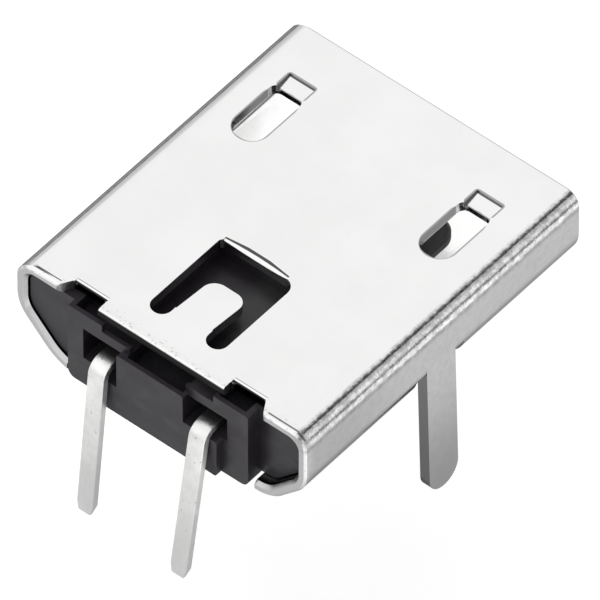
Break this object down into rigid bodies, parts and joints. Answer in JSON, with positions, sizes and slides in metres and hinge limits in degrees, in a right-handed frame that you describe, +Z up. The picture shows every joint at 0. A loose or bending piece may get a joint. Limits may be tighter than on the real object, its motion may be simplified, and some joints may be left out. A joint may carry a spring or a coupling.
{
  "type": "micro usb socket",
  "caption": "Through-hole micro USB receptacle: folded metal shell with latch windows, a locking tab and board legs, round a black moulded insert with bent flat terminals.",
  "frame": {"origin": "on the board's top face, under the middle of the shell's underside", "axes": "+Z up from the board, -Y out of the mouth towards the plug, +X to the left of someone looking at the terminals from behind, from +Y"},
  "size_m": [0.0078, 0.0096, 0.0051],
  "materials": {
    "nickel_plate": "nickel plated steel sheet, semi-bright",
    "black_insulator": "moulded black plastic, matt with a faint shine",
    "tin_plate": "copper alloy strip, matt tin plated, so it looks silver grey"
  },
  "bodies": {
    "root": {"shell": "nickel_plate", "housing": "black_insulator", "terminal_left": "tin_plate", "terminal_right": "tin_plate"}
  },
  "joints": []
}
